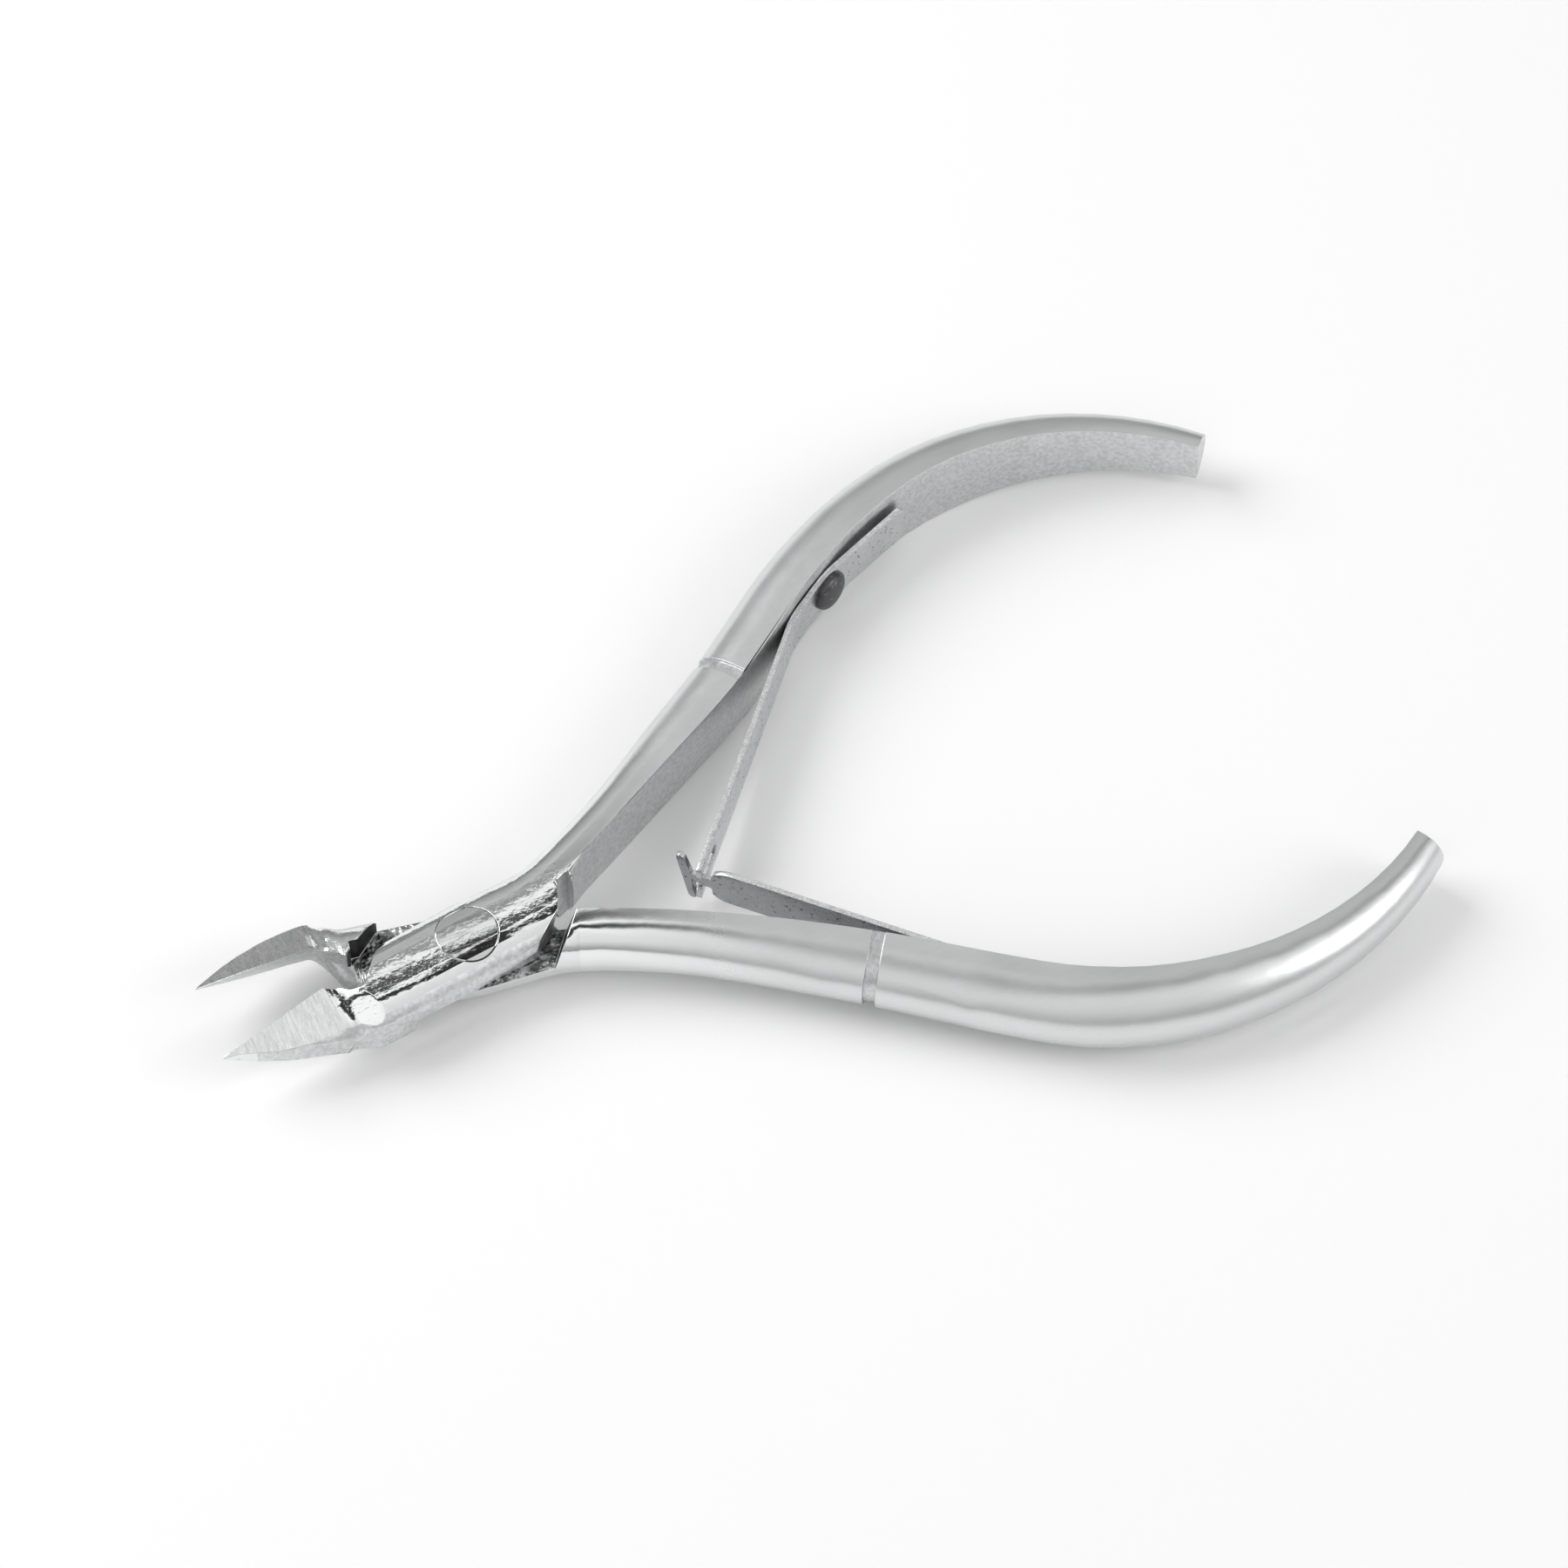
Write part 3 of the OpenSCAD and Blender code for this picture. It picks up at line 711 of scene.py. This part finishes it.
class NIPPER_OT_springs(bpy.types.Operator):
    """Bends the forked leaf and the T-ended leaf that lock into each other"""
    bl_idname = "nipper.springs"
    bl_label = "Leaf springs"

    def execute(self, context):
        sizes = context.scene.nipper_sizes
        finishes = finishes_for(context)
        for side, half in HALF.items():
            line = spring_line(side)
            bend, along = line[2], (line[3] - line[2]).normalized()
            piece = self.ribbon(side, line, along, sizes.leaf_width / MM / 2)
            piece.name = half + "_leaf_spring"
            work(piece, "strip", "SOLIDIFY", thickness=sizes.leaf_thickness, offset=0)
            face_out(piece)
            break_edges(piece, LEAF_EDGE * MM, 40)
            # The rear leaf's copy of the spring steel is darker, painted shade
            dress(piece, finishes, (half + "_leaf", "leaf_edge"),
                  lambda middle, normal: "leaf_edge" if abs(normal.z) > 0.6
                  else half + "_leaf")
            smooth(piece)
            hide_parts(half + "_leaf_tab", half + "_leaf_blade")
            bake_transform(piece)
        return {"FINISHED"}

    def columns(self, side, line, along, half_width):
        """The columns of a leaf from end to end, as (point in plan, half width, role)."""
        bent = rounded_line(line)
        first = (bent[1] - bent[0]).normalized()
        start = bent[0] - first * TAB_OVERHANG
        for turn in TAB_TURNS:
            a = radians(turn)
            yield (start + first * TAB_CORNER * (1 - cos(a)),
                   half_width - TAB_CORNER * (1 - sin(a)), None)
        for point in bent[1:]:
            yield point, half_width, None
        for ahead in LEAD_COLUMNS:
            yield CROSS + along * ahead, half_width, None
        if side == FRONT:
            for ahead in FORK_COLUMNS:
                yield CROSS + along * ahead, half_width, "fork"
            return
        shoulder = SHOULDER_END - half_width
        for turn in SHOULDER_TURNS:
            a = radians(turn)
            yield (CROSS + along * (shoulder + half_width * sin(a)),
                   half_width * cos(a), None)
        for ahead, width in NECK_COLUMNS:
            yield CROSS + along * ahead, width, None
        for ahead, width in HEAD_COLUMNS:
            yield CROSS + along * ahead, width, "head"

    def ribbon(self, side, line, along, half_width):
        """The leaf's middle surface: a grid laid along its line, with the fork's slot out."""
        columns = list(self.columns(side, line, along, half_width))
        deselect()
        bpy.ops.mesh.primitive_grid_add(x_subdivisions=len(columns) - 1,
                                        y_subdivisions=len(LEVELS) - 1, size=2 * MM,
                                        location=(0, 0, 0))
        piece = bpy.context.object
        vertices = piece.data.vertices
        across, up = (sorted({round(v.co[axis] / MM, 4) for v in vertices})
                      for axis in (0, 1))
        slot_bottom = len(columns) - len(FORK_COLUMNS)
        for v in vertices:
            column = min(range(len(across)), key=lambda k: abs(across[k] - v.co.x / MM))
            row = min(range(len(up)), key=lambda k: abs(up[k] - v.co.y / MM))
            point, width, role = columns[column]
            height = LEVELS[row] * width
            shift = HEAD_LEAN * height if role == "head" else 0.0
            if role == "fork" and column == slot_bottom:
                shift = FORK_ROUND.get(row, 0.0)
            v.co = Vector((*(point + along * shift), LAP_Z + height)) * MM
        if side == FRONT:
            select_faces(piece, lambda face: self.in_slot(face.center / MM, along))
            bpy.ops.mesh.delete(type="FACE")
            mode("OBJECT")
        return piece

    def in_slot(self, middle, along):
        ahead = (middle.xy - CROSS).dot(along)
        return ahead > FORK_START and abs(middle.z - LAP_Z) < FORK_SLOT - 0.02


class NIPPER_OT_rivets(bpy.types.Operator):
    """Sets the two domed spring rivets"""
    bl_idname = "nipper.rivets"
    bl_label = "Spring rivets"

    def execute(self, context):
        sizes = context.scene.nipper_sizes
        finish = finishes_for(context)["rivet"]
        for side, half in HALF.items():
            pin, along = PIN[side]
            spot = at_rest(pin, side)
            facing = at_rest(heading(along - pi / 2), side)
            turn = UP.rotation_difference(Vector((*facing, 0)))
            piece = self.dome(sizes.dome_height / MM)
            piece.name = half + "_spring_rivet_dome"
            settle(piece, Matrix.Translation(Vector((*spot, LAP_Z)) * MM)
                   @ turn.to_matrix().to_4x4())
            face_out(piece)
            piece.data.materials.append(finish)
            smooth(piece, 40)
            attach(piece, half)
            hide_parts(half + "_spring_rivet")
        return {"FINISHED"}

    def dome(self, height):
        """A shank with a domed head, its axis along Z and the handle's face at Z = 0."""
        deselect()
        bpy.ops.mesh.primitive_cylinder_add(
            vertices=40, radius=SHANK_RADIUS * MM, depth=SHANK_LENGTH * MM,
            location=(0, 0, (SHANK_TOP - SHANK_LENGTH / 2) * MM))
        piece = bpy.context.object
        settle(piece)
        profile = list(HEAD_PROFILE)
        for k in range(1, DOME_STEPS):
            a = radians(k * DOME_STEP)
            profile.append((DOME_FOOT + (height + HEAD_SEAT - DOME_FOOT) * sin(a),
                            HEAD_RADIUS * cos(a) ** 0.75))
        select_faces(piece, lambda face: face.normal.z > 0.9)
        z, radius = SHANK_TOP, SHANK_RADIUS
        for up, wide in profile:
            bpy.ops.mesh.extrude_region_move(
                TRANSFORM_OT_translate={"value": (0, 0, (up - z) * MM)})
            bpy.ops.transform.resize(value=(wide / radius, wide / radius, 1))
            z, radius = up, wide
        mode("OBJECT")
        return piece


# ---------------------------------------------------------------- the stage

class NIPPER_OT_stage(bpy.types.Operator):
    """Lays the pale floor and sets the lights, the sky and the camera"""
    bl_idname = "nipper.stage"
    bl_label = "Stage"

    def execute(self, context):
        scene = context.scene
        low = CAD_BOX[0][2]
        deselect()
        bpy.ops.mesh.primitive_plane_add(size=scene.nipper_sizes.floor_size,
                                         location=(0, 0, low - FLOOR_GAP))
        ground = bpy.context.object
        ground.name = "floor"
        ground.data.materials.append(Finish("nipper_floor", 0.0).set(
            Base_Color=tuple(scene.nipper_colours.floor), Roughness=0.9))
        self.sky(scene)
        for lamp in LIGHTS:
            self.light(*lamp)
        self.camera(scene)
        scene.view_settings.view_transform = "Standard"
        return {"FINISHED"}

    def sky(self, scene):
        """Bright round about, greyer at the horizon, with dark strips overhead."""
        world = bpy.data.worlds.new("studio")
        scene.world = world
        world.use_nodes = True
        nodes, link = world.node_tree.nodes, world.node_tree.links.new
        where = nodes.new("ShaderNodeTexCoord").outputs["Generated"]
        height = nodes.new("ShaderNodeSeparateXYZ")
        link(where, height.inputs[0])
        # The share of the way across, from 0 at one horizon to 1 at the other
        away = nodes.new("ShaderNodeVectorMath")
        away.operation = "DOT_PRODUCT"
        away.inputs[1].default_value = Vector(ACROSS) * 0.5
        link(where, away.inputs[0])
        share = nodes.new("ShaderNodeMath")
        share.inputs[1].default_value = 0.5
        link(away.outputs["Value"], share.inputs[0])
        both = nodes.new("ShaderNodeMath")
        both.operation = "MULTIPLY"
        for slot, (source, stops) in enumerate((
                (height.outputs["Z"], SKY), (share.outputs[0], FLAGS))):
            ramp = nodes.new("ShaderNodeValToRGB")
            set_stops(ramp.color_ramp, stops)
            link(source, ramp.inputs[0])
            link(ramp.outputs[0], both.inputs[slot])
        sheet = nodes["Background"]
        sheet.inputs[0].default_value = (1, 1, 1, 1)
        link(both.outputs[0], sheet.inputs[1])

    def light(self, name, place, size, power):
        deselect()
        bpy.ops.object.light_add(type="AREA", location=place)
        lamp = bpy.context.object
        lamp.name = name
        lamp.data.shape = "DISK"
        lamp.data.size = size
        lamp.data.energy = power
        lamp.rotation_euler = (-Vector(place)).to_track_quat("-Z", "Y").to_euler()

    def camera(self, scene):
        back = CAMERA_BACK.normalized()
        up = back.cross(CAMERA_RIGHT.normalized()).normalized()
        turn = Matrix((up.cross(back), up, back)).transposed().to_4x4()
        deselect()
        bpy.ops.object.camera_add()
        eye = bpy.context.object
        eye.name = "camera"
        eye.matrix_world = Matrix.Translation(
            (CAMERA_TARGET + back * CAMERA_DISTANCE) * MM) @ turn
        eye.data.lens = 160
        eye.data.sensor_width = 36
        eye.data.clip_start = 0.01
        eye.data.clip_end = 20
        scene.camera = eye


class NIPPER_PT_panel(bpy.types.Panel):
    """Lists the nipper's sizes and colours, and a button for each step"""
    bl_idname = "NIPPER_PT_panel"
    bl_label = "Cuticle nipper"
    bl_space_type = "VIEW_3D"
    bl_region_type = "UI"
    bl_category = "Nipper"

    def draw(self, context):
        for group in (context.scene.nipper_sizes, context.scene.nipper_colours):
            column = self.layout.column()
            for key in group.bl_rna.properties.keys():
                if key not in {"rna_type", "name"}:
                    column.prop(group, key)
        for step in STEPS:
            self.layout.operator(step.bl_idname)


STEPS = (NIPPER_OT_halves, NIPPER_OT_pivot, NIPPER_OT_springs, NIPPER_OT_rivets,
         NIPPER_OT_stage)
CLASSES = (NipperSizes, NipperColours, *STEPS, NIPPER_PT_panel)


def register():
    for made in CLASSES:
        bpy.utils.register_class(made)
    bpy.types.Scene.nipper_sizes = PointerProperty(type=NipperSizes)
    bpy.types.Scene.nipper_colours = PointerProperty(type=NipperColours)


def unregister():
    del bpy.types.Scene.nipper_colours
    del bpy.types.Scene.nipper_sizes
    for made in reversed(CLASSES):
        bpy.utils.unregister_class(made)


def main():
    register()
    bpy.ops.nipper.halves()
    bpy.ops.nipper.pivot()
    bpy.ops.nipper.springs()
    bpy.ops.nipper.rivets()
    bpy.ops.nipper.stage()
    bpy.context.view_layer.update()


if __name__ == "__main__":
    main()
